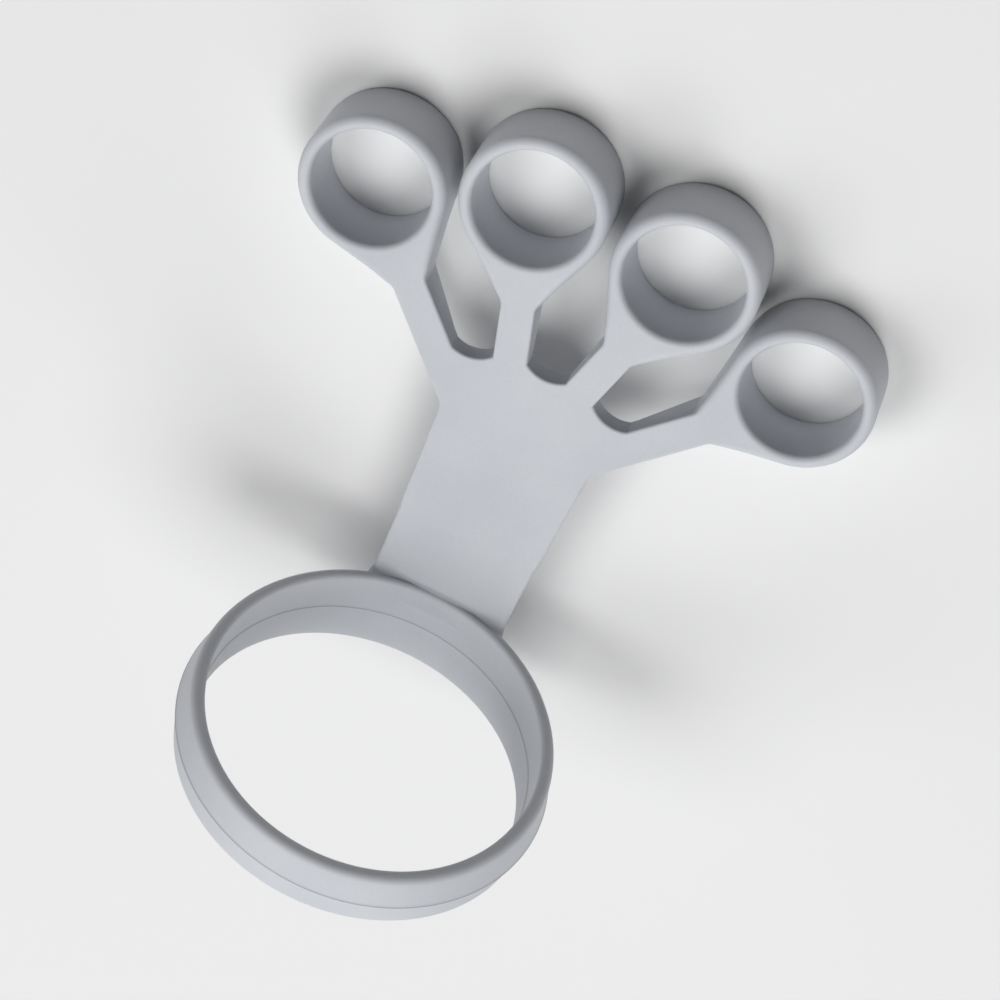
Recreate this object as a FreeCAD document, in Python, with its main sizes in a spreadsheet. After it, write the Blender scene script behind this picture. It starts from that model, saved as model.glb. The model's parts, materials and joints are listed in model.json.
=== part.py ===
import FreeCAD, Part
import math
import os
import Sketcher

# Finger exerciser: palm plate, four arms that end in finger loops, and a wrist cuff on a short neck.
# X runs across the hand, Y from the wrist to the fingers, Z out of the palm face.
# Z = 0 is the plane the finger loops stand on, and the outline is centred on the origin.

doc = FreeCAD.newDocument("finger_exerciser")
dims = doc.addObject("Spreadsheet::Sheet", "dims")

DRIVING = [
    ("bore_radius", 11.0),        # finger loop bore
    ("loop_wall", 2.6),
    ("loop_depth", 14.0),         # along the finger
    ("rim_round", 0.8),
    ("plate_thick", 4.6),
    ("arm_width", 6.4),
    ("arm_tip_thick", 7.8),       # where the arm runs into the web of its loop
    ("web_start", 18.9),          # loop centre to the end of the arm
    ("inner_across", 14.65),      # middle and ring finger loops from the centre line
    ("inner_angle", 15.0),
    ("inner_reach", 29.9),        # loop centre to the root of the arm
    ("outer_across", 42.0),       # index and little finger loops
    ("outer_setback", 10.3),
    ("outer_angle", 43.6),
    ("outer_reach", 32.3),
    ("slot_round", 6.5),          # arc at the bottom of each slot between two arms
    ("shoulder_half", 15.0),      # half width of the plate under the arms
    ("shoulder_round", 2.5),
    ("waist_half", 13.7),         # half width where the neck starts
    ("waist_down", 66.0),
    ("neck_half", 13.3),
    ("neck_down", 85.4),
    ("loop_row", 49.07),           # inner loop centres ahead of the origin
    ("cuff_radius", 31.2),
    ("cuff_wall", 3.8),           # at the moulding line, half way across the band
    ("cuff_rim_wall", 2.4),
    ("cuff_width_palm", 18.5),
    ("cuff_width_front", 12.7),
    ("cuff_down", 97.3),          # cuff centre behind the inner loop centres
    ("cuff_rise", 28.9),          # cuff centre above the palm face
    ("cuff_lean", 14.5),
    ("cuff_round", 1.1),
]

DERIVED = [
    ("loop_outer", "=bore_radius + loop_wall"),
    ("half_arm", "=arm_width / 2"),
    ("taper_inner", "=(arm_tip_thick - plate_thick) / (inner_reach - web_start)"),
    ("taper_outer", "=(arm_tip_thick - plate_thick) / (outer_reach - web_start)"),
    ("slot_mid_x", "=inner_across - half_arm * cos(inner_angle) - inner_reach * sin(inner_angle)"),
    ("slot_mid_y", "=half_arm * sin(inner_angle) - inner_reach * cos(inner_angle)"),
    ("slot_in_x", "=inner_across + half_arm * cos(inner_angle) - inner_reach * sin(inner_angle)"),
    ("slot_in_y", "=0 - half_arm * sin(inner_angle) - inner_reach * cos(inner_angle)"),
    ("slot_out_x", "=outer_across - half_arm * cos(outer_angle) - outer_reach * sin(outer_angle)"),
    ("slot_out_y", "=half_arm * sin(outer_angle) - outer_reach * cos(outer_angle) - outer_setback"),
    ("root_out_x", "=outer_across + half_arm * cos(outer_angle) - outer_reach * sin(outer_angle)"),
    ("root_out_y", "=0 - half_arm * sin(outer_angle) - outer_reach * cos(outer_angle) - outer_setback"),
    ("shoulder_y", "=root_out_y - (root_out_x - shoulder_half) / tan(outer_angle)"),
    ("waist_y", "=0 - waist_down"),
    ("neck_y", "=0 - neck_down"),
    ("web_angle", "=atan(half_arm / web_start) + acos(loop_outer / sqrt(web_start ^ 2 + half_arm ^ 2))"),
    ("web_x", "=loop_outer * sin(web_angle)"),
    ("web_y", "=0 - loop_outer * cos(web_angle)"),
    ("web_base_y", "=0 - web_start"),
    ("tip_under", "=0 - arm_tip_thick"),
    ("plate_under", "=0 - plate_thick"),
    ("root_inner_y", "=0 - inner_reach"),
    ("root_outer_y", "=0 - outer_reach"),
    ("under_inner", "=tip_under - taper_inner * (web_start + web_y)"),
    ("under_outer", "=tip_under - taper_outer * (web_start + web_y)"),
    ("web_floor", "=0 - loop_depth"),
    ("cuff_outer", "=cuff_radius + cuff_wall"),
    ("cuff_mean", "=cuff_radius + cuff_wall / 2"),
    ("cuff_reach", "=cuff_outer + 3"),
    ("cuff_lean_slope", "=(cuff_width_palm - cuff_width_front) / 4 / cuff_mean"),
    ("cuff_half_mid", "=(cuff_width_palm + cuff_width_front) / 4"),
    ("cuff_half_low", "=cuff_half_mid + cuff_lean_slope * cuff_reach"),
    ("cuff_half_high", "=cuff_half_mid - cuff_lean_slope * cuff_reach"),
    ("cuff_taper", "=(cuff_wall - cuff_rim_wall) / cuff_half_mid"),
    ("cuff_blank_half", "=cuff_half_low + 1"),
    ("cuff_blank_edge", "=cuff_outer - cuff_taper * cuff_blank_half"),
    ("cuff_seat_half", "=cuff_half_mid + cuff_lean_slope * cuff_outer"),
    ("cuff_seat_edge", "=cuff_outer - cuff_taper * cuff_seat_half"),
]

row = 1
for alias, value in DRIVING + DERIVED:
    cell = "B%d" % row
    dims.set("A%d" % row, alias.replace("_", " "))
    dims.set(cell, str(value))
    dims.setAlias(cell, alias)
    row += 1
doc.recompute()


def size(alias):
    """Present value of a sheet entry, with an optional leading minus."""
    sign = -1.0 if alias.startswith("-") else 1.0
    return sign * float(getattr(dims, alias.lstrip("-")))


def link(obj, prop, alias):
    obj.setExpression(prop, alias.replace("-", "-dims.") if alias.startswith("-") else "dims." + alias)


def new_body(name):
    body = doc.addObject("PartDesign::Body", name)
    body.Label = name
    return body


def new_sketch(body, plane, name):
    sketch = body.newObject("Sketcher::SketchObject", name)
    face = [f for f in body.Origin.OriginFeatures if f.Role == plane][0]
    sketch.AttachmentSupport = [(face, "")]
    sketch.MapMode = "FlatFace"
    return sketch


def tie(sketch, geo, end, axis, alias):
    """Fix one coordinate of a sketch point to a sheet entry."""
    value = size(alias)
    kind = "DistanceX" if axis == 0 else "DistanceY"
    if abs(value) < 1e-9:
        sketch.addConstraint(Sketcher.Constraint("PointOnObject", geo, end, -2 if axis == 0 else -1))
        return
    bare = alias.lstrip("-")
    if value > 0:
        number = sketch.addConstraint(Sketcher.Constraint(kind, -1, 1, geo, end, value))
    else:
        number = sketch.addConstraint(Sketcher.Constraint(kind, geo, end, -1, 1, -value))
    stored = float(getattr(dims, bare))
    formula = "dims." + bare if stored > 0 else "-dims." + bare
    sketch.setExpression("Constraints[%d]" % number, formula)


def outline(sketch, points, arcs=None):
    """Closed outline through points given as sheet entries; arcs maps a side to (radius entry, bulge)."""
    arcs = arcs or {}
    here = [FreeCAD.Vector(size(px) if px else 0.0, size(py) if py else 0.0, 0) for px, py in points]
    count = len(points)
    first = sketch.GeometryCount
    for i in range(count):
        a = here[i]
        b = here[(i + 1) % count]
        if i in arcs:
            radius, bulge = arcs[i]
            r = size(radius)
            chord = b.sub(a)
            half = chord.Length / 2
            sag = r - math.sqrt(r * r - half * half)
            side = FreeCAD.Vector(chord.y, -chord.x, 0).normalize().multiply(bulge * sag)
            mid = a.add(b).multiply(0.5).add(side)
            sketch.addGeometry(Part.Arc(a, mid, b), False)
        else:
            sketch.addGeometry(Part.LineSegment(a, b), False)
    ends = []
    for i in range(count):
        geo = sketch.Geometry[first + i]
        start_first = geo.StartPoint.distanceToPoint(here[i]) < 1e-6
        ends.append((1, 2) if start_first else (2, 1))
    for i in range(count):
        j = (i + 1) % count
        sketch.addConstraint(Sketcher.Constraint("Coincident", first + i, ends[i][1], first + j, ends[j][0]))
    for i, (px, py) in enumerate(points):
        for axis, alias in ((0, px), (1, py)):
            if alias:
                tie(sketch, first + i, ends[i][0], axis, alias)
            else:
                line = -2 if axis == 0 else -1
                sketch.addConstraint(Sketcher.Constraint("PointOnObject", first + i, ends[i][0], line))
    for i, (radius, bulge) in arcs.items():
        number = sketch.addConstraint(Sketcher.Constraint("Radius", first + i, size(radius)))
        link(sketch, "Constraints[%d]" % number, radius)


def circle(sketch, radius):
    sketch.addGeometry(Part.Circle(FreeCAD.Vector(0, 0, 0), FreeCAD.Vector(0, 0, 1), size(radius)), False)
    sketch.addConstraint(Sketcher.Constraint("Coincident", 0, 3, -1, 1))
    number = sketch.addConstraint(Sketcher.Constraint("Radius", 0, size(radius)))
    link(sketch, "Constraints[%d]" % number, radius)


def pad_down(body, sketch, depth):
    pad = body.newObject("PartDesign::Pad", "Pad")
    pad.Profile = sketch
    pad.Reversed = True
    link(pad, "Length", depth)
    body.Tip = pad
    doc.recompute()
    return pad


def cut_across(body, sketch, name):
    """Cut right through the body on both sides of the sketch plane."""
    pocket = body.newObject("PartDesign::Pocket", name)
    pocket.Profile = sketch
    pocket.Type = "ThroughAll"
    pocket.Midplane = True
    body.Tip = pocket
    doc.recompute()
    return pocket


def round_edges(body, base, wanted, radius):
    """Fillet the edges of base that satisfy wanted."""
    names = ["Edge%d" % (i + 1) for i, e in enumerate(base.Shape.Edges) if wanted(e)]
    fillet = body.newObject("PartDesign::Fillet", "Round")
    fillet.Base = (base, names)
    link(fillet, "Radius", radius)
    body.Tip = fillet
    doc.recompute()
    return fillet


def place(body, across, along, angle=None, axis=(0, 0, 1)):
    """Stand the body's origin on the palm face; across and along are formulas on the sheet."""
    if angle:
        body.Placement = FreeCAD.Placement(
            FreeCAD.Vector(0, 0, 0), FreeCAD.Rotation(FreeCAD.Vector(*axis), 1))
        body.setExpression("Placement.Rotation.Angle", angle)
    body.setExpression("Placement.Base.x", across)
    body.setExpression("Placement.Base.y", along)
    body.setExpression("Placement.Base.z", "dims.loop_depth")


# Palm plate with three slots and sloping shoulders

palm = new_body("palm_plate")
place(palm, "0", "dims.loop_row")
sketch = new_sketch(palm, "XY_Plane", "palm_outline")
outline(sketch, [
    ("-slot_mid_x", "slot_mid_y"), ("slot_mid_x", "slot_mid_y"),
    ("slot_in_x", "slot_in_y"), ("slot_out_x", "slot_out_y"),
    ("root_out_x", "root_out_y"), ("shoulder_half", "shoulder_y"),
    ("waist_half", "waist_y"), ("-waist_half", "waist_y"),
    ("-shoulder_half", "shoulder_y"), ("-root_out_x", "root_out_y"),
    ("-slot_out_x", "slot_out_y"), ("-slot_in_x", "slot_in_y"),
], {0: ("slot_round", 1), 2: ("slot_round", 1), 10: ("slot_round", 1)})
plate = pad_down(palm, sketch, "plate_thick")


def at_shoulder(edge):
    mid = edge.valueAt((edge.FirstParameter + edge.LastParameter) / 2)
    return abs(abs(mid.x) - size("shoulder_half")) < 0.01 and abs(mid.y - size("shoulder_y")) < 0.01


round_edges(palm, plate, at_shoulder, "shoulder_round")

# Arms and loops: each pair is drawn about its own loop centre, with Y pointing away from the palm

FINGERS = [
    ("index", "-outer", "outer"),
    ("middle", "-inner", "inner"),
    ("ring", "inner", "inner"),
    ("little", "outer", "outer"),
]

for finger, side, kind in FINGERS:
    sign = "-" if side.startswith("-") else ""
    turn = "dims.%s_angle" % kind if sign else "-dims.%s_angle" % kind
    across = "%sdims.%s_across" % (sign, kind)
    along = "dims.loop_row" if kind == "inner" else "dims.loop_row - dims.outer_setback"

    arm = new_body("arm_" + finger)
    place(arm, across, along, turn)
    sketch = new_sketch(arm, "YZ_Plane", "arm_side_" + finger)
    outline(sketch, [
        ("root_%s_y" % kind, None), ("root_%s_y" % kind, "plate_under"),
        ("web_base_y", "tip_under"), ("web_base_y", None),
    ])
    pad = arm.newObject("PartDesign::Pad", "arm_pad_" + finger)
    pad.Profile = sketch
    pad.Midplane = True
    link(pad, "Length", "arm_width")
    arm.Tip = pad
    doc.recompute()

    loop = new_body("loop_" + finger)
    place(loop, across, along, turn)
    web = new_sketch(loop, "XY_Plane", "web_outline_" + finger)
    outline(web, [
        ("-half_arm", "web_base_y"), ("half_arm", "web_base_y"),
        ("web_x", "web_y"), ("-web_x", "web_y"),
    ])
    pad_down(loop, web, "loop_depth")
    ramp = new_sketch(loop, "YZ_Plane", "web_ramp_" + finger)
    outline(ramp, [
        ("web_base_y", "tip_under"), ("web_y", "under_" + kind),
        ("web_y", "web_floor"), ("web_base_y", "web_floor"),
    ])
    cut_across(loop, ramp, "web_cut_" + finger)
    ring = new_sketch(loop, "XY_Plane", "ring_outline_" + finger)
    circle(ring, "loop_outer")
    pad_down(loop, ring, "loop_depth")
    bore = new_sketch(loop, "XY_Plane", "bore_outline_" + finger)
    circle(bore, "bore_radius")
    hole = cut_across(loop, bore, "bore_" + finger)

    def bore_rim(edge):
        if not isinstance(edge.Curve, Part.Circle):
            return False
        return abs(edge.Curve.Radius - size("bore_radius")) < 0.01 and edge.BoundBox.ZLength < 0.01

    round_edges(loop, hole, bore_rim, "rim_round")

# Wrist cuff: a ring whose axis leans off the palm face, wider next to the palm than in front of the wrist.
# The outside drafts down to both rims from the moulding line half way across.

cuff = new_body("wrist_cuff")
place(cuff, "0", "dims.loop_row - dims.cuff_down", "dims.cuff_lean", (1, 0, 0))
cuff.setExpression("Placement.Base.z", "dims.loop_depth + dims.cuff_rise")
sketch = new_sketch(cuff, "YZ_Plane", "cuff_section")
outline(sketch, [
    ("-cuff_blank_half", "cuff_radius"), ("cuff_blank_half", "cuff_radius"),
    ("cuff_blank_half", "cuff_blank_edge"), (None, "cuff_outer"), ("-cuff_blank_half", "cuff_blank_edge"),
])
turned = cuff.newObject("PartDesign::Revolution", "cuff_turned")
turned.Profile = sketch
turned.ReferenceAxis = (sketch, ["H_Axis"])
turned.Angle = 360
cuff.Tip = turned
doc.recompute()

# The two rims lie in planes that close toward each other away from the palm
for side, sign in (("palm", ""), ("wrist", "-")):
    rim = new_sketch(cuff, "YZ_Plane", "cuff_rim_" + side)
    outline(rim, [
        (sign + "cuff_half_low", "-cuff_reach"), (sign + "cuff_reach", "-cuff_reach"),
        (sign + "cuff_reach", "cuff_reach"), (sign + "cuff_half_high", "cuff_reach"),
    ])
    trimmed = cut_across(cuff, rim, "cuff_trim_" + side)


def on_rim(edge):
    box = edge.BoundBox
    return box.XLength > size("cuff_radius") and abs(box.Center.y) > 1


round_edges(cuff, trimmed, on_rim, "cuff_round")

# Neck: the tail of the plate, shaped to the outside of the cuff that it runs under

neck = new_body("neck")
place(neck, "0", "dims.loop_row")
sketch = new_sketch(neck, "XY_Plane", "neck_outline")
outline(sketch, [
    ("-waist_half", "waist_y"), ("waist_half", "waist_y"),
    ("neck_half", "neck_y"), ("-neck_half", "neck_y"),
])
pad_down(neck, sketch, "plate_thick")

seat = new_sketch(neck, "YZ_Plane", "cuff_seat")
seat.AttachmentOffset = FreeCAD.Placement(
    FreeCAD.Vector(0, 0, 0), FreeCAD.Rotation(FreeCAD.Vector(0, 0, 1), 1))
seat.setExpression("AttachmentOffset.Base.x", "-dims.cuff_down")
seat.setExpression("AttachmentOffset.Base.y", "dims.cuff_rise")
seat.setExpression("AttachmentOffset.Rotation.Angle", "dims.cuff_lean")
outline(seat, [
    ("-cuff_seat_half", None), ("cuff_seat_half", None),
    ("cuff_seat_half", "-cuff_seat_edge"), (None, "-cuff_outer"), ("-cuff_seat_half", "-cuff_seat_edge"),
])
groove = neck.newObject("PartDesign::Groove", "cuff_seat_cut")
groove.Profile = seat
groove.ReferenceAxis = (seat, ["H_Axis"])
groove.Angle = 360
neck.Tip = groove

doc.recompute()

parts = [o for o in doc.Objects if o.TypeId == "PartDesign::Body"]
for obj in doc.Objects:
    bad = [s for s in obj.State if s in ("Invalid", "Error")]
    if bad:
        raise RuntimeError("%s is %s" % (obj.Label, bad))
for body in parts:
    shape = body.Shape
    if shape.isNull() or not shape.isValid() or len(shape.Solids) != 1:
        raise RuntimeError("%s has no sound solid" % body.Label)

os.makedirs("parts", exist_ok=True)
for body in parts:
    body.Shape.exportStep("parts/%s.step" % body.Label)
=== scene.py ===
import json
import math

import bmesh
import bpy
import numpy as np
from mathutils import Matrix, Vector


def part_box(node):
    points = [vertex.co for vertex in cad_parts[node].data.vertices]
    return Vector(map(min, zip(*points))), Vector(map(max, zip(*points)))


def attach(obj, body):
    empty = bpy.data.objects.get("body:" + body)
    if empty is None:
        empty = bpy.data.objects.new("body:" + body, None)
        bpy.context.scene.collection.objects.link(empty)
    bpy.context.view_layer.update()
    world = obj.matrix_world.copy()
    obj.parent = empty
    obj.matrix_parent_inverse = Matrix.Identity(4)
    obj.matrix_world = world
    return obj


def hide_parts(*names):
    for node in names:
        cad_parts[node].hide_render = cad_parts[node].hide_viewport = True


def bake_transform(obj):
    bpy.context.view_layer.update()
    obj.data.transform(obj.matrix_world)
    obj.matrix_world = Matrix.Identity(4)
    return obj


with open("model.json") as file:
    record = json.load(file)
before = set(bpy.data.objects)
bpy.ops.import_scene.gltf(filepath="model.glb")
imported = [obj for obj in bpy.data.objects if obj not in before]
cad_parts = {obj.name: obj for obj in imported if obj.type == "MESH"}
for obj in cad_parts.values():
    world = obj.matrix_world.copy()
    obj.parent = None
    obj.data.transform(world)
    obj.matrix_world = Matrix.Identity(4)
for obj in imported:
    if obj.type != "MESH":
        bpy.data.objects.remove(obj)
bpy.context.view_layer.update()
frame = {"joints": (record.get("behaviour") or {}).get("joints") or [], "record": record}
record = frame["record"]
joints = {j["name"]: j for j in frame["joints"]}
mounts = {m["name"]: m for m in record["mounts"]}

# Shapes are worked out in millimetres. Plate coordinates have their origin midway between the two inner
# loops on the palm face; limb coordinates have it at a loop's centre, with Y away from the palm.
MM = 0.001
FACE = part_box("palm_plate")[1][2] / MM
ROW = mounts["ring_bore"]["pos_m"][1] / MM
FINGERS = ("index", "middle", "ring", "little")

# Loops and arms
BORE = mounts["ring_bore"]["dims"]["r_mm"]
TUBE = BORE + 2.6    # outside of a loop
DEPTH = 14.0         # of a loop
ARM = 3.2            # half width of an arm
THICK = 4.6          # plate, and an arm at its root
TIP_THICK = 7.8      # arm where the web starts
WEB = 18.9           # loop centre to the start of the web
JOIN = 0.6           # an arm starts this far out of the slot's bottom
EDGE = 0.5           # rounding of the plain edges
BORE_FRONT = 1.15    # rounding of a bore's edge on the palm face
LOOP_FRONT = 1.6     # rounding of a loop's outer edge there
LOOP_BACK = 0.6      # rounding of a loop's edges at the back
WEB_CORNER = 0.35    # fill of the corner between web and arm
WEB_UNDER = 1.8      # fill between the back of the web and the loop

# Palm plate and neck
SHOULDER = 15.0      # half width at the shoulders
SHOULDER_R = 2.5
SLOT_R = 6.5         # round bottom of a slot
WAIST = (13.7, -66.0)
NECK = (13.3, -85.4)
NECK_CORNER = 3.0
SKIN_HALF = 17.5     # half width of the neck's skin, fillets included
SKIN_BACK = 4.0      # how far it reaches behind the cuff's moulding line
SKIN_INSET = 0.25    # how far it stays inside the cuff's walls

# Cuff
CUFF_R = mounts["wrist_bore"]["dims"]["r_mm"]
CUFF_WALL = 3.8      # at the moulding line
CUFF_RIM_WALL = 2.4
CUFF_LEAN = math.radians(14.5)
CUFF_AT = (0.0, mounts["wrist_bore"]["pos_m"][1] / MM - ROW, mounts["wrist_bore"]["pos_m"][2] / MM - FACE)
CUFF_HALF = 7.8      # half width at the sides
CUFF_EXTRA = 1.45    # wider by this beside the palm, narrower by it at the far side
CUFF_SLOPE = CUFF_EXTRA / (CUFF_R + CUFF_WALL / 2)
CUFF_TAPER = (CUFF_WALL - CUFF_RIM_WALL) / CUFF_HALF
RIM_IN = 0.95        # rounding of a rim's inner edge
RIM_OUT = 1.4        # and of its outer edge


# Solid fields: negative inside, in millimetres

def meet(a, b, r):
    """Intersection whose edge is rounded to radius r."""
    return np.minimum(-r, np.maximum(a, b)) + np.hypot(np.maximum(a + r, 0), np.maximum(b + r, 0))


def join(a, b, r):
    """Union whose inside corner is filled to radius r."""
    return np.maximum(r, np.minimum(a, b)) - np.hypot(np.maximum(r - a, 0), np.maximum(r - b, 0))


def smooth(t):
    t = np.clip(t, 0, 1)
    return t * t * (3 - 2 * t)


def ramp(s, slope):
    """Thickening past a root at s = 0, eased over the first millimetre each way."""
    return slope * np.where(s < -1, 0, np.where(s > 1, s, (s + 1) ** 2 / 4))


def polygon(x, y, points):
    """Signed distance to a closed outline."""
    best = np.full(x.shape, 1e9)
    inside = np.zeros(x.shape, bool)
    count = len(points)
    for i in range(count):
        ax, ay = points[i]
        bx, by = points[(i + 1) % count]
        ex, ey = bx - ax, by - ay
        px, py = x - ax, y - ay
        t = np.clip((px * ex + py * ey) / (ex * ex + ey * ey), 0, 1)
        best = np.minimum(best, (px - t * ex) ** 2 + (py - t * ey) ** 2)
        crosses = (ay > y) != (by > y)
        side = ex * py - ey * px
        inside ^= crosses & ((side > 0) == (ey > 0))
    return np.where(inside, -1.0, 1.0) * np.sqrt(best)


def arc(a, b, r, count=12):
    """Points of an arc from a to b that bulges to the right of that way, ends left out."""
    a, b = np.array(a, float), np.array(b, float)
    chord = b - a
    half = np.hypot(*chord) / 2
    right = np.array([chord[1], -chord[0]]) / (2 * half)
    centre = (a + b) / 2 - right * math.sqrt(r * r - half * half)
    start = math.atan2(a[1] - centre[1], a[0] - centre[0])
    end = math.atan2(b[1] - centre[1], b[0] - centre[0])
    turn = (end - start + math.pi) % (2 * math.pi) - math.pi
    angles = [start + turn * k / count for k in range(1, count)]
    return [tuple(centre + r * np.array([math.cos(t), math.sin(t)])) for t in angles]


class Limb:
    """One arm with its loop, in limb coordinates."""

    def __init__(self, finger):
        centre = mounts[finger + "_bore"]["pos_m"]
        way = joints[finger + "_stretch"]["axis"]
        root = joints[finger + "_bend"]["pos_m"]
        self.x = centre[0] / MM
        self.y = centre[1] / MM - ROW
        self.way = (way[0], way[1])
        self.reach = math.hypot(centre[0] - root[0], centre[1] - root[1]) / MM
        self.slope = (TIP_THICK - THICK) / (self.reach - WEB)
        self.root = -self.reach + JOIN
        self.middle = self.root + 0.42 * (self.reach - WEB)
        self.tip = -WEB - 0.5

    def local(self, x, y):
        dx, dy = x - self.x, y - self.y
        wx, wy = self.way
        return dx * wy - dy * wx, dx * wx + dy * wy

    def plate(self, x, y):
        """Limb coordinates to plate coordinates."""
        wx, wy = self.way
        return self.x + x * wy + y * wx, self.y - x * wx + y * wy

    def matrix(self):
        wx, wy = self.way
        turn = Matrix(((wy, wx, 0), (-wx, wy, 0), (0, 0, 1))).to_4x4()
        return Matrix.Translation((self.x * MM, (self.y + ROW) * MM, FACE * MM)) @ turn

    def outline(self, x, y):
        """Loop, arm and the web between them, whose sides run from the arm's to touch the loop."""
        angle = math.atan2(ARM, WEB) + math.acos(TUBE / math.hypot(ARM, WEB))
        touch_x, touch_y = TUBE * math.sin(angle), -TUBE * math.cos(angle)
        length = math.hypot(touch_x - ARM, touch_y + WEB)
        ux, uy = (touch_x - ARM) / length, (touch_y + WEB) / length
        side = np.abs(x)
        off = (side - ARM) * uy - (y + WEB) * ux
        beyond = (side - touch_x) * ux + (y - touch_y) * uy
        web = join(np.maximum(side - ARM, y), np.maximum(off, beyond), WEB_CORNER)
        return np.minimum(np.hypot(x, y) - TUBE, web)

    def field(self, p):
        x, y, z = p
        r = np.hypot(x, y)
        under = (-z - THICK - ramp(y + self.reach, self.slope)) / math.hypot(1, self.slope)
        low = join(under, r - TUBE, WEB_UNDER)
        solid = meet(self.outline(x, y), low, EDGE)
        solid = meet(solid, -DEPTH - z, LOOP_BACK)
        # The front edge is rounder on the loop than on the arm, and changes over 8 mm of the web.
        front = EDGE + (LOOP_FRONT - EDGE) * smooth((y + WEB + 2) / 8)
        solid = meet(solid, z, front)
        return meet(solid, BORE - r, np.where(z > -DEPTH / 2, BORE_FRONT, LOOP_BACK))


LIMBS = {finger: Limb(finger) for finger in FINGERS}


def palm_outline():
    """Plate outline in plate coordinates, with a stub for each arm and a tail for the neck."""
    inner, outer = LIMBS["ring"], LIMBS["little"]
    stub = 3.0
    slot_a, slot_b = inner.plate(-ARM, -inner.reach), inner.plate(ARM, -inner.reach)
    slot_c, side = outer.plate(-ARM, -outer.reach), outer.plate(ARM, -outer.reach)
    edge = np.array(outer.way)
    down = (side[0] - SHOULDER) / edge[0]
    corner = np.array([SHOULDER, side[1] - down * edge[1]])
    to_waist = np.array([WAIST[0] - corner[0], WAIST[1] - corner[1]])
    to_waist /= np.hypot(*to_waist)
    inside = math.acos(float(edge @ to_waist))
    tangent = SHOULDER_R / math.tan(inside / 2)
    above, below = corner + edge * tangent, corner + to_waist * tangent
    tail = (WAIST[0], WAIST[1] - 4)
    half = [
        slot_a,
        inner.plate(-ARM, -inner.reach + stub), inner.plate(ARM, -inner.reach + stub),
        slot_b, *arc(slot_b, slot_c, SLOT_R), slot_c,
        outer.plate(-ARM, -outer.reach + stub), outer.plate(ARM, -outer.reach + stub),
        tuple(above), *arc(above, below, SHOULDER_R, 6), tuple(below),
        tail,
    ]
    mirrored = [(-x, y) for x, y in reversed(half)]
    return mirrored + arc(mirrored[-1], half[0], SLOT_R) + half


OUTLINE = palm_outline()


def palm_field(p):
    x, y, z = p
    thick = THICK
    for limb in LIMBS.values():
        thick = thick + ramp(limb.local(x, y)[1] + limb.reach, limb.slope)
    flat = polygon(x, y, OUTLINE)
    return meet(meet(flat, -z - thick, EDGE), z, EDGE)


def cuff_field(x, y, z):
    """The cuff's field, and the distance s along its axis from the moulding line."""
    dy, dz = y - CUFF_AT[1], z - CUFF_AT[2]
    s = dy * math.cos(CUFF_LEAN) + dz * math.sin(CUFF_LEAN)
    v = -dy * math.sin(CUFF_LEAN) + dz * math.cos(CUFF_LEAN)
    rho = np.hypot(x, v)
    outside = rho - CUFF_R - CUFF_WALL + CUFF_TAPER * np.abs(s)
    rim = np.abs(s) - CUFF_HALF + CUFF_SLOPE * v
    return meet(meet(outside, rim, RIM_OUT), CUFF_R - rho, RIM_IN), s


def neck_field(p):
    x, y, z = p
    wide = WAIST[0] + (y - WAIST[1]) * (WAIST[0] - NECK[0]) / (WAIST[1] - NECK[1])
    flat = meet(np.abs(x) - wide, NECK[1] - y, NECK_CORNER)
    slab = meet(meet(flat, -z - THICK, EDGE), z, EDGE)
    cuff, s = cuff_field(x, y, z)
    # The fillet against the cuff grows toward both sides of the palm face and toward the back.
    toward_side = smooth((np.abs(x) - 6) / 7) * smooth((z + 2) / 1.5)
    toward_back = smooth((-1 - z) / 2.5)
    body = join(slab, cuff + SKIN_INSET, 1.2 + 1.9 * toward_side + 2.0 * toward_back)
    return np.maximum(body, np.maximum(np.abs(x) - SKIN_HALF, -s - SKIN_BACK))


# Meshes from fields

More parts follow.
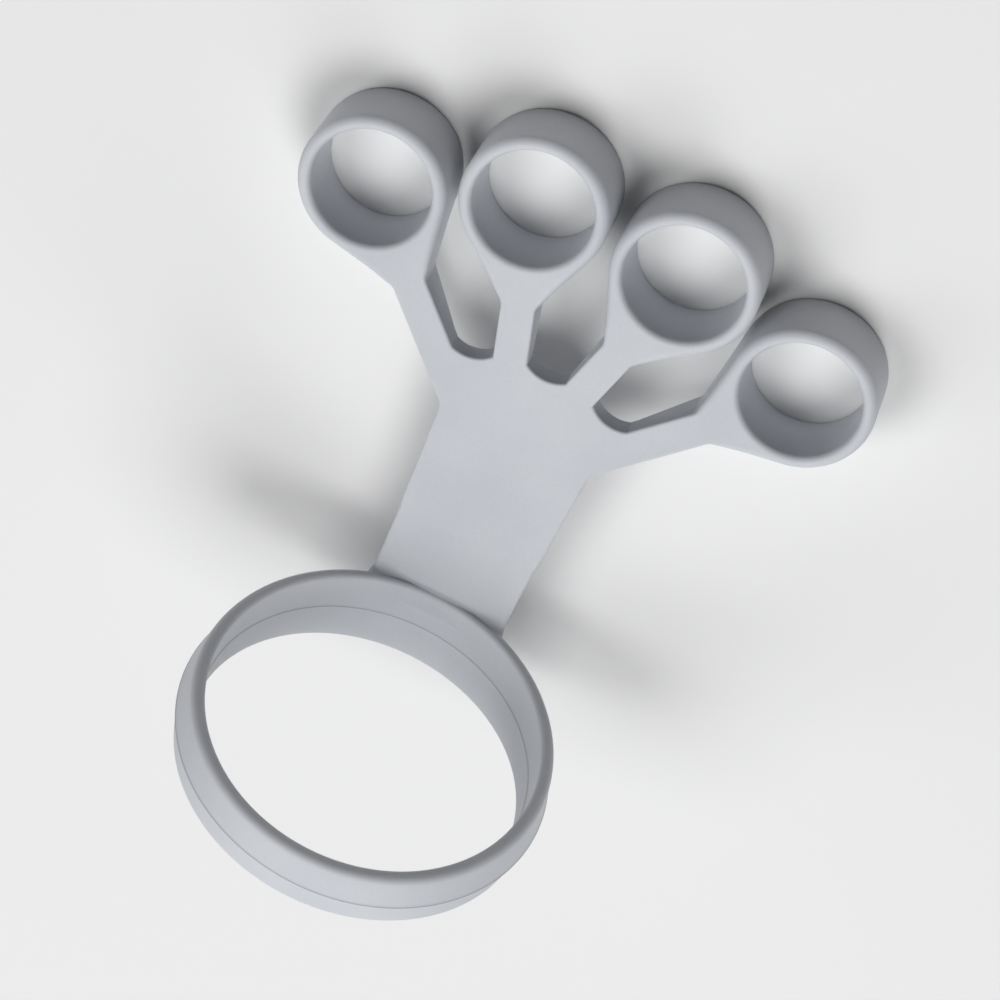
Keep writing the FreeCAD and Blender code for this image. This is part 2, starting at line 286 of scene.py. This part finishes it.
def surface(field, low, high, step):
    """Quads on the zero surface of a field, one vertex per crossed cell, pulled onto the surface."""
    axes = [np.arange(a, b + step, step) for a, b in zip(low, high)]
    grid = np.meshgrid(*axes, indexing="ij")
    value = field(grid)
    inside = value < 0
    shape = value.shape
    total = np.zeros(tuple(n - 1 for n in shape) + (3,))
    hits = np.zeros(tuple(n - 1 for n in shape))
    for axis in range(3):
        a = [slice(None)] * 3
        b = [slice(None)] * 3
        a[axis], b[axis] = slice(None, -1), slice(1, None)
        va, vb = value[tuple(a)], value[tuple(b)]
        cross = inside[tuple(a)] != inside[tuple(b)]
        t = np.where(cross, va / np.where(cross, va - vb, 1), 0)
        others = [k for k in range(3) if k != axis]
        for i in (0, 1):
            for j in (0, 1):
                pick = [slice(None)] * 3
                pick[others[0]] = slice(i, shape[others[0]] - 1 + i)
                pick[others[1]] = slice(j, shape[others[1]] - 1 + j)
                c = cross[tuple(pick)]
                hits += c
                total[..., axis] += np.where(c, t[tuple(pick)], 0)
                total[..., others[0]] += c * i
                total[..., others[1]] += c * j
    used = hits > 0
    index = np.full(used.shape, -1)
    index[used] = np.arange(used.sum())
    cell = np.argwhere(used)
    verts = (cell + total[used] / hits[used][:, None]) * step + np.array([ax[0] for ax in axes])
    quads = []
    for axis in range(3):
        u, w = (axis + 1) % 3, (axis + 2) % 3
        a = [slice(1, -1)] * 3
        b = [slice(1, -1)] * 3
        a[axis], b[axis] = slice(None, -1), slice(1, None)
        ia, ib = inside[tuple(a)], inside[tuple(b)]
        for flip, which in ((False, ia & ~ib), (True, ib & ~ia)):
            at = np.argwhere(which)
            if not len(at):
                continue
            at[:, u] += 1
            at[:, w] += 1
            corners = []
            for du, dw in ((-1, -1), (0, -1), (0, 0), (-1, 0)):
                c = at.copy()
                c[:, u] += du
                c[:, w] += dw
                corners.append(index[c[:, 0], c[:, 1], c[:, 2]])
            quad = np.stack(corners, 1)
            quads.append(quad[:, ::-1] if flip else quad)
    quads = np.concatenate(quads)
    verts = settle(field, verts, step)
    return verts, quads


def slope_of(field, v, h=0.02):
    g = np.empty_like(v)
    for k in range(3):
        a, b = v.copy(), v.copy()
        a[:, k] += h
        b[:, k] -= h
        g[:, k] = (field(a.T) - field(b.T)) / (2 * h)
    return g


def settle(field, v, step, rounds=4):
    for _ in range(rounds):
        g = slope_of(field, v)
        move = field(v.T)[:, None] * g / np.maximum((g * g).sum(1), 0.25)[:, None]
        v = v - np.clip(move, -step, step)
    return v


def cut(bm, point, normal, near=None):
    """Takes off what lies past a plane and closes the hole. near limits the cut to faces that close."""
    point, normal = Vector(point), Vector(normal).normalized()
    faces = [f for f in bm.faces if near is None or (f.calc_center_median() - point).length < near]
    edges = list({e for f in faces for e in f.edges})
    verts = list({v for f in faces for v in f.verts})
    made = bmesh.ops.bisect_plane(bm, geom=verts + edges + faces, dist=1e-6, plane_co=point, plane_no=normal)
    line = {e for e in made["geom_cut"] if isinstance(e, bmesh.types.BMEdge)}
    past = [f for f in bm.faces if (f.calc_center_median() - point).dot(normal) > 1e-5
            and (near is None or (f.calc_center_median() - point).length < near)]
    bmesh.ops.delete(bm, geom=past, context="FACES")
    rim = [e for e in bm.edges if e in line and e.is_valid and e.is_boundary]
    made = bmesh.ops.edgeloop_fill(bm, edges=rim)
    for f in made["faces"]:
        f.smooth = False
        if f.normal.dot(normal) < 0:
            f.normal_flip()


def build(name, field, low, high, step, cuts, matrix):
    """A closed mesh object from a field in millimetres, cut by planes, with the field's own normals."""
    verts, quads = surface(field, low, high, step)
    bm = bmesh.new()
    made = [bm.verts.new(v) for v in verts]
    for q in quads.tolist():
        if min(q) >= 0 and len(set(q)) == 4:
            f = bm.faces.new([made[k] for k in q])
            f.smooth = True
    for c in cuts:
        cut(bm, *c)
    bmesh.ops.delete(bm, geom=[v for v in bm.verts if not v.link_faces], context="VERTS")
    mesh = bpy.data.meshes.new(name)
    bm.to_mesh(mesh)
    bm.free()
    co = np.empty(len(mesh.vertices) * 3)
    mesh.vertices.foreach_get("co", co)
    co = co.reshape(-1, 3)
    normal = slope_of(field, co)
    normal /= np.linalg.norm(normal, axis=1)[:, None]
    corner = np.empty(len(mesh.loops), int)
    mesh.loops.foreach_get("vertex_index", corner)
    per_corner = normal[corner]
    for poly in mesh.polygons:
        if not poly.use_smooth:
            per_corner[poly.loop_start:poly.loop_start + poly.loop_total] = poly.normal
    mesh.normals_split_custom_set(per_corner.tolist())
    mesh.transform(matrix @ Matrix.Scale(MM, 4))
    obj = bpy.data.objects.new(name, mesh)
    bpy.context.scene.collection.objects.link(obj)
    return obj


# Material

def silicone():
    """Matt pale grey silicone: faint clouds and grain in its tone, fine grain in its surface, and painted
    shade along the moulding line."""
    mat = bpy.data.materials.new("silicone")
    mat.use_nodes = True
    tree = mat.node_tree
    tree.nodes.clear()
    out = tree.nodes.new("ShaderNodeOutputMaterial")
    shader = tree.nodes.new("ShaderNodeBsdfPrincipled")
    tree.links.new(shader.outputs[0], out.inputs[0])
    shader.inputs["IOR"].default_value = 1.41
    shader.inputs["Specular IOR Level"].default_value = 0.35
    shader.inputs["Sheen Weight"].default_value = 0.06
    shader.inputs["Sheen Roughness"].default_value = 0.5
    place = tree.nodes.new("ShaderNodeAttribute")
    place.attribute_name = "rest"

    def noise(scale, detail, rough=0.5):
        n = tree.nodes.new("ShaderNodeTexNoise")
        n.inputs["Scale"].default_value = scale
        n.inputs["Detail"].default_value = detail
        n.inputs["Roughness"].default_value = rough
        tree.links.new(place.outputs["Vector"], n.inputs["Vector"])
        return n.outputs["Fac"]

    def spread(value, low, high, a=0.35, b=0.65):
        n = tree.nodes.new("ShaderNodeMapRange")
        n.inputs["From Min"].default_value = a
        n.inputs["From Max"].default_value = b
        n.inputs["To Min"].default_value = low
        n.inputs["To Max"].default_value = high
        tree.links.new(value, n.inputs["Value"])
        return n.outputs["Result"]

    cloud = noise(0.05, 3.0)
    grain = noise(2.6, 2.0, 0.6)
    seam = tree.nodes.new("ShaderNodeAttribute")
    seam.attribute_name = "seam"
    tone = tree.nodes.new("ShaderNodeMix")
    tone.data_type = "RGBA"
    tone.inputs["A"].default_value = (0.552, 0.574, 0.612, 1)
    tone.inputs["B"].default_value = (0.587, 0.605, 0.640, 1)
    tree.links.new(spread(cloud, 0, 1), tone.inputs["Factor"])
    speck = tree.nodes.new("ShaderNodeMix")
    speck.data_type = "RGBA"
    speck.blend_type = "MULTIPLY"
    speck.inputs["B"].default_value = (0.93, 0.93, 0.93, 1)
    tree.links.new(spread(grain, 0, 0.5), speck.inputs["Factor"])
    tree.links.new(tone.outputs["Result"], speck.inputs["A"])
    # Painted shade: along the moulding line the colour is multiplied down to 0.76, standing in for the
    # bead's shading.
    seam_shade_paint = tree.nodes.new("ShaderNodeMix")
    seam_shade_paint.data_type = "RGBA"
    seam_shade_paint.blend_type = "MULTIPLY"
    seam_shade_paint.inputs["B"].default_value = (0.76, 0.76, 0.76, 1)
    tree.links.new(seam.outputs["Fac"], seam_shade_paint.inputs["Factor"])
    tree.links.new(speck.outputs["Result"], seam_shade_paint.inputs["A"])
    tree.links.new(seam_shade_paint.outputs["Result"], shader.inputs["Base Color"])
    tree.links.new(spread(noise(0.9, 2.0), 0.52, 0.62), shader.inputs["Roughness"])
    bump = tree.nodes.new("ShaderNodeBump")
    bump.inputs["Strength"].default_value = 0.12
    bump.inputs["Distance"].default_value = 0.00004
    tree.links.new(grain, bump.inputs["Height"])
    tree.links.new(bump.outputs["Normal"], shader.inputs["Normal"])
    return mat


SILICONE = silicone()


def finish_piece(obj, seam=None):
    """Gives a piece its material and the rest coordinates, in millimetres, that its grain is tied to."""
    mesh = obj.data
    mesh.materials.clear()
    mesh.materials.append(SILICONE)
    co = np.empty(len(mesh.vertices) * 3, np.float32)
    mesh.vertices.foreach_get("co", co)
    rest = mesh.attributes.new("rest", "FLOAT_VECTOR", "POINT")
    rest.data.foreach_set("vector", co / MM)
    # Mask of the painted shade along the moulding line, 1 where the colour is darkened.
    mark = mesh.attributes.new("seam", "FLOAT", "POINT")
    if seam is not None:
        mark.data.foreach_set("value", seam.astype(np.float32))


# Pieces

STEP = 0.36
ARM_STEP = 0.3
MARGIN = 1.2         # of a grid past the plane that cuts its piece off
MID = -2             # height of the planes' points, inside the plate
plate_matrix = Matrix.Translation((0, ROW * MM, FACE * MM))

palm_cuts = [((0, WAIST[1], MID), (0, -1, 0))]
for limb in LIMBS.values():
    palm_cuts.append(((*limb.plate(0, limb.root), MID), (*limb.way, 0), 5.5))
palm = build("palm", palm_field, (-25.5, -67.5, -6.2), (25.5, -24.0, 1.0), STEP, palm_cuts, plate_matrix)
finish_piece(palm)
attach(palm, "palm")
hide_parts("palm_plate")


def arm_piece(name, limb, low, high):
    """The stretch of an arm between two places along it."""
    place = limb.matrix()
    cuts = [((0, low, MID), (0, -1, 0)), ((0, high, MID), (0, 1, 0))]
    piece = build(name, limb.field, (-ARM - 1, low - MARGIN, -10), (ARM + 1, high + MARGIN, 1), ARM_STEP,
                  cuts, place)
    finish_piece(piece)
    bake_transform(piece)
    return piece


for finger, limb in LIMBS.items():
    arm_body, loop_body = "arm_" + finger, "loop_" + finger
    arm_piece("arm_root_" + finger, limb, limb.root, limb.middle)
    tip = arm_piece("arm_tip_" + finger, limb, limb.middle, limb.tip)
    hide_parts(arm_body)
    loop = build("loop_" + finger + "_skin", limb.field, (-15, limb.tip - MARGIN, -15), (15, 15, 1), STEP,
                 [((0, limb.tip, MID), (0, -1, 0))], limb.matrix())
    finish_piece(loop)
    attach(loop, loop_body)
    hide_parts(loop_body)

neck = build("neck_skin", neck_field, (-18.7, -97, -9), (18.7, WAIST[1] + MARGIN, 9), STEP,
             [((0, WAIST[1], MID), (0, 1, 0))], plate_matrix)
finish_piece(neck)
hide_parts("neck")
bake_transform(neck)


def rounded(points, count=7):
    """A closed outline with rounded corners; points are (s, rho, radius), radius 0 for none."""
    out = []
    for i, (s, rho, radius) in enumerate(points):
        at = np.array([s, rho])
        if not radius:
            out.append((s, rho))
            continue
        back, on = (np.array(points[(i + k) % len(points)][:2]) - at for k in (-1, 1))
        back, on = back / np.hypot(*back), on / np.hypot(*on)
        half = math.acos(float(back @ on)) / 2
        middle = at + (back + on) / np.hypot(*(back + on)) * radius / math.sin(half)
        first = at + back * radius / math.tan(half) - middle
        last = at + on * radius / math.tan(half) - middle
        start, end = math.atan2(first[1], first[0]), math.atan2(last[1], last[0])
        turn = (end - start + math.pi) % (2 * math.pi) - math.pi
        out += [(middle[0] + radius * math.cos(start + turn * k / count),
                 middle[1] + radius * math.sin(start + turn * k / count)) for k in range(count + 1)]
    return out


BEAD = ((0.34, 0.0), (0.2, 0.03), (0.1, 0.1))    # half of the moulding line: distance from it, height
BEAD_TOP = 0.14
RIM_ROOM = 2.4       # kept free of other points at each rim, for its roundings


def cuff_section(half):
    """The cuff's section where it is 2 * half wide, as (s, rho) points, with 1 marking the moulding line,
    where shade is painted.
    """
    inner, outer = CUFF_R, CUFF_R + CUFF_WALL
    front = [((half - RIM_ROOM) * k / 6, 0.0) for k in range(6, 0, -1)] + list(BEAD)
    along = front + [(0.0, BEAD_TOP)] + [(-s, up) for s, up in reversed(front)]
    rim = outer - CUFF_TAPER * half
    points = [(half, inner, RIM_IN)]
    points += [(s, inner - up, 0) for s, up in along]
    points += [(-half, inner, RIM_IN), (-half, rim, RIM_OUT)]
    points += [(s, outer - CUFF_TAPER * abs(s) + up, 0) for s, up in reversed(along)]
    points += [(half, rim, RIM_OUT)]
    outline = rounded(points)
    return outline, [1.0 if abs(s) < 0.15 else 0.0 for s, _ in outline]


def cuff_mesh(name, around=360):
    """The cuff as a swept section: round rims, an outside that drafts down to them from the moulding line
    half way across, and that line standing up as a fine bead on both walls."""
    verts, seam = [], []
    across, lean = math.cos(CUFF_LEAN), math.sin(CUFF_LEAN)
    for k in range(around):
        t = 2 * math.pi * k / around
        points, marks = cuff_section(CUFF_HALF - CUFF_EXTRA * math.sin(t))
        for s, rho in points:
            x, v = rho * math.cos(t), rho * math.sin(t)
            verts.append((x, CUFF_AT[1] + s * across - v * lean, CUFF_AT[2] + s * lean + v * across))
        # marks where shade is painted along the moulding line
        seam += marks
    count = len(verts) // around
    faces = []
    for k in range(around):
        n = (k + 1) % around
        for i in range(count):
            j = (i + 1) % count
            faces.append((k * count + i, n * count + i, n * count + j, k * count + j))
    mesh = bpy.data.meshes.new(name)
    mesh.from_pydata(verts, [], faces)
    bm = bmesh.new()
    bm.from_mesh(mesh)
    bmesh.ops.recalc_face_normals(bm, faces=bm.faces)
    for f in bm.faces:
        f.smooth = True
    bm.to_mesh(mesh)
    bm.free()
    mesh.transform(plate_matrix @ Matrix.Scale(MM, 4))
    obj = bpy.data.objects.new(name, mesh)
    bpy.context.scene.collection.objects.link(obj)
    return obj, np.array(seam)


cuff, cuff_painted_seam_shade = cuff_mesh("cuff")
finish_piece(cuff, cuff_painted_seam_shade)
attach(cuff, "wrist")
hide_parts("wrist_cuff")

# Stage

# In metres
STUDIO = 3.0         # radius of the floor and of the pale dome over it
SOFTBOX = 2.3        # width of a soft light
SOFTBOX_AWAY = 4.0   # its distance


def stage_piece(name, fill):
    """An object of the stage whose mesh the given bmesh call makes."""
    bm = bmesh.new()
    fill(bm)
    mesh = bpy.data.meshes.new(name)
    bm.to_mesh(mesh)
    bm.free()
    obj = bpy.data.objects.new(name, mesh)
    bpy.context.scene.collection.objects.link(obj)
    paint = bpy.data.materials.new(name)
    paint.use_nodes = True
    mesh.materials.append(paint)
    return obj, paint.node_tree.nodes["Principled BSDF"]


floor, paper = stage_piece("floor", lambda bm: bmesh.ops.create_circle(
    bm, cap_ends=True, radius=STUDIO, segments=96))
paper.inputs["Base Color"].default_value = (0.82, 0.82, 0.82, 1)
paper.inputs["Roughness"].default_value = 0.9

# The dome is only there to be seen behind the object: it neither lights it nor shades it.
dome, glow = stage_piece("dome", lambda bm: bmesh.ops.create_uvsphere(
    bm, u_segments=96, v_segments=48, radius=STUDIO))
glow.inputs["Base Color"].default_value = (0, 0, 0, 1)
glow.inputs["Specular IOR Level"].default_value = 0
glow.inputs["Emission Color"].default_value = (1, 1, 1, 1)
glow.inputs["Emission Strength"].default_value = 0.6
for kind in ("diffuse", "glossy", "transmission", "volume_scatter", "shadow"):
    setattr(dome, "visible_" + kind, False)


def softbox(name, azimuth, lean, power):
    """A round soft light, lean degrees from straight above, azimuth degrees from +X."""
    turn, lean = math.radians(azimuth), math.radians(lean)
    way = Vector((math.sin(lean) * math.cos(turn), math.sin(lean) * math.sin(turn), math.cos(lean)))
    light = bpy.data.lights.new(name, "AREA")
    light.shape = "DISK"
    light.size = SOFTBOX
    light.energy = power
    obj = bpy.data.objects.new(name, light)
    obj.location = SOFTBOX_AWAY * way
    obj.rotation_euler = way.to_track_quat("Z", "Y").to_euler()
    bpy.context.scene.collection.objects.link(obj)


softbox("top", 90, 4, 7)
softbox("high_right", -30, 27, 79)
softbox("high_left", 210, 27, 62)
softbox("low_right", -45, 57, 31)
softbox("low_left", 225, 57, 31)
world = bpy.data.worlds.new("studio")
world.use_nodes = True
world.node_tree.nodes["Background"].inputs["Color"].default_value = (0.015, 0.0153, 0.0158, 1)
bpy.context.scene.world = world
bpy.context.scene.view_settings.view_transform = "Standard"

# The camera looks down at the palm face from beyond the fingers, turned so that the cuff is at lower left.

camera = bpy.data.cameras.new("camera")
camera.sensor_width = 36
camera.lens = 128.49
camera.clip_start = 0.01
camera.clip_end = 10
eye = bpy.data.objects.new("camera", camera)
right = Vector((0.895856, 0.372039, -0.242958))
down = Vector((0.444199, -0.763774, 0.468333))
ahead = Vector((-0.011327, -0.527481, -0.849491))
turn = Matrix((right, -down, -ahead)).transposed().to_4x4()
eye.matrix_world = Matrix.Translation((0.009713, 0.335552, 0.565266)) @ turn
bpy.context.scene.collection.objects.link(eye)
bpy.context.scene.camera = eye
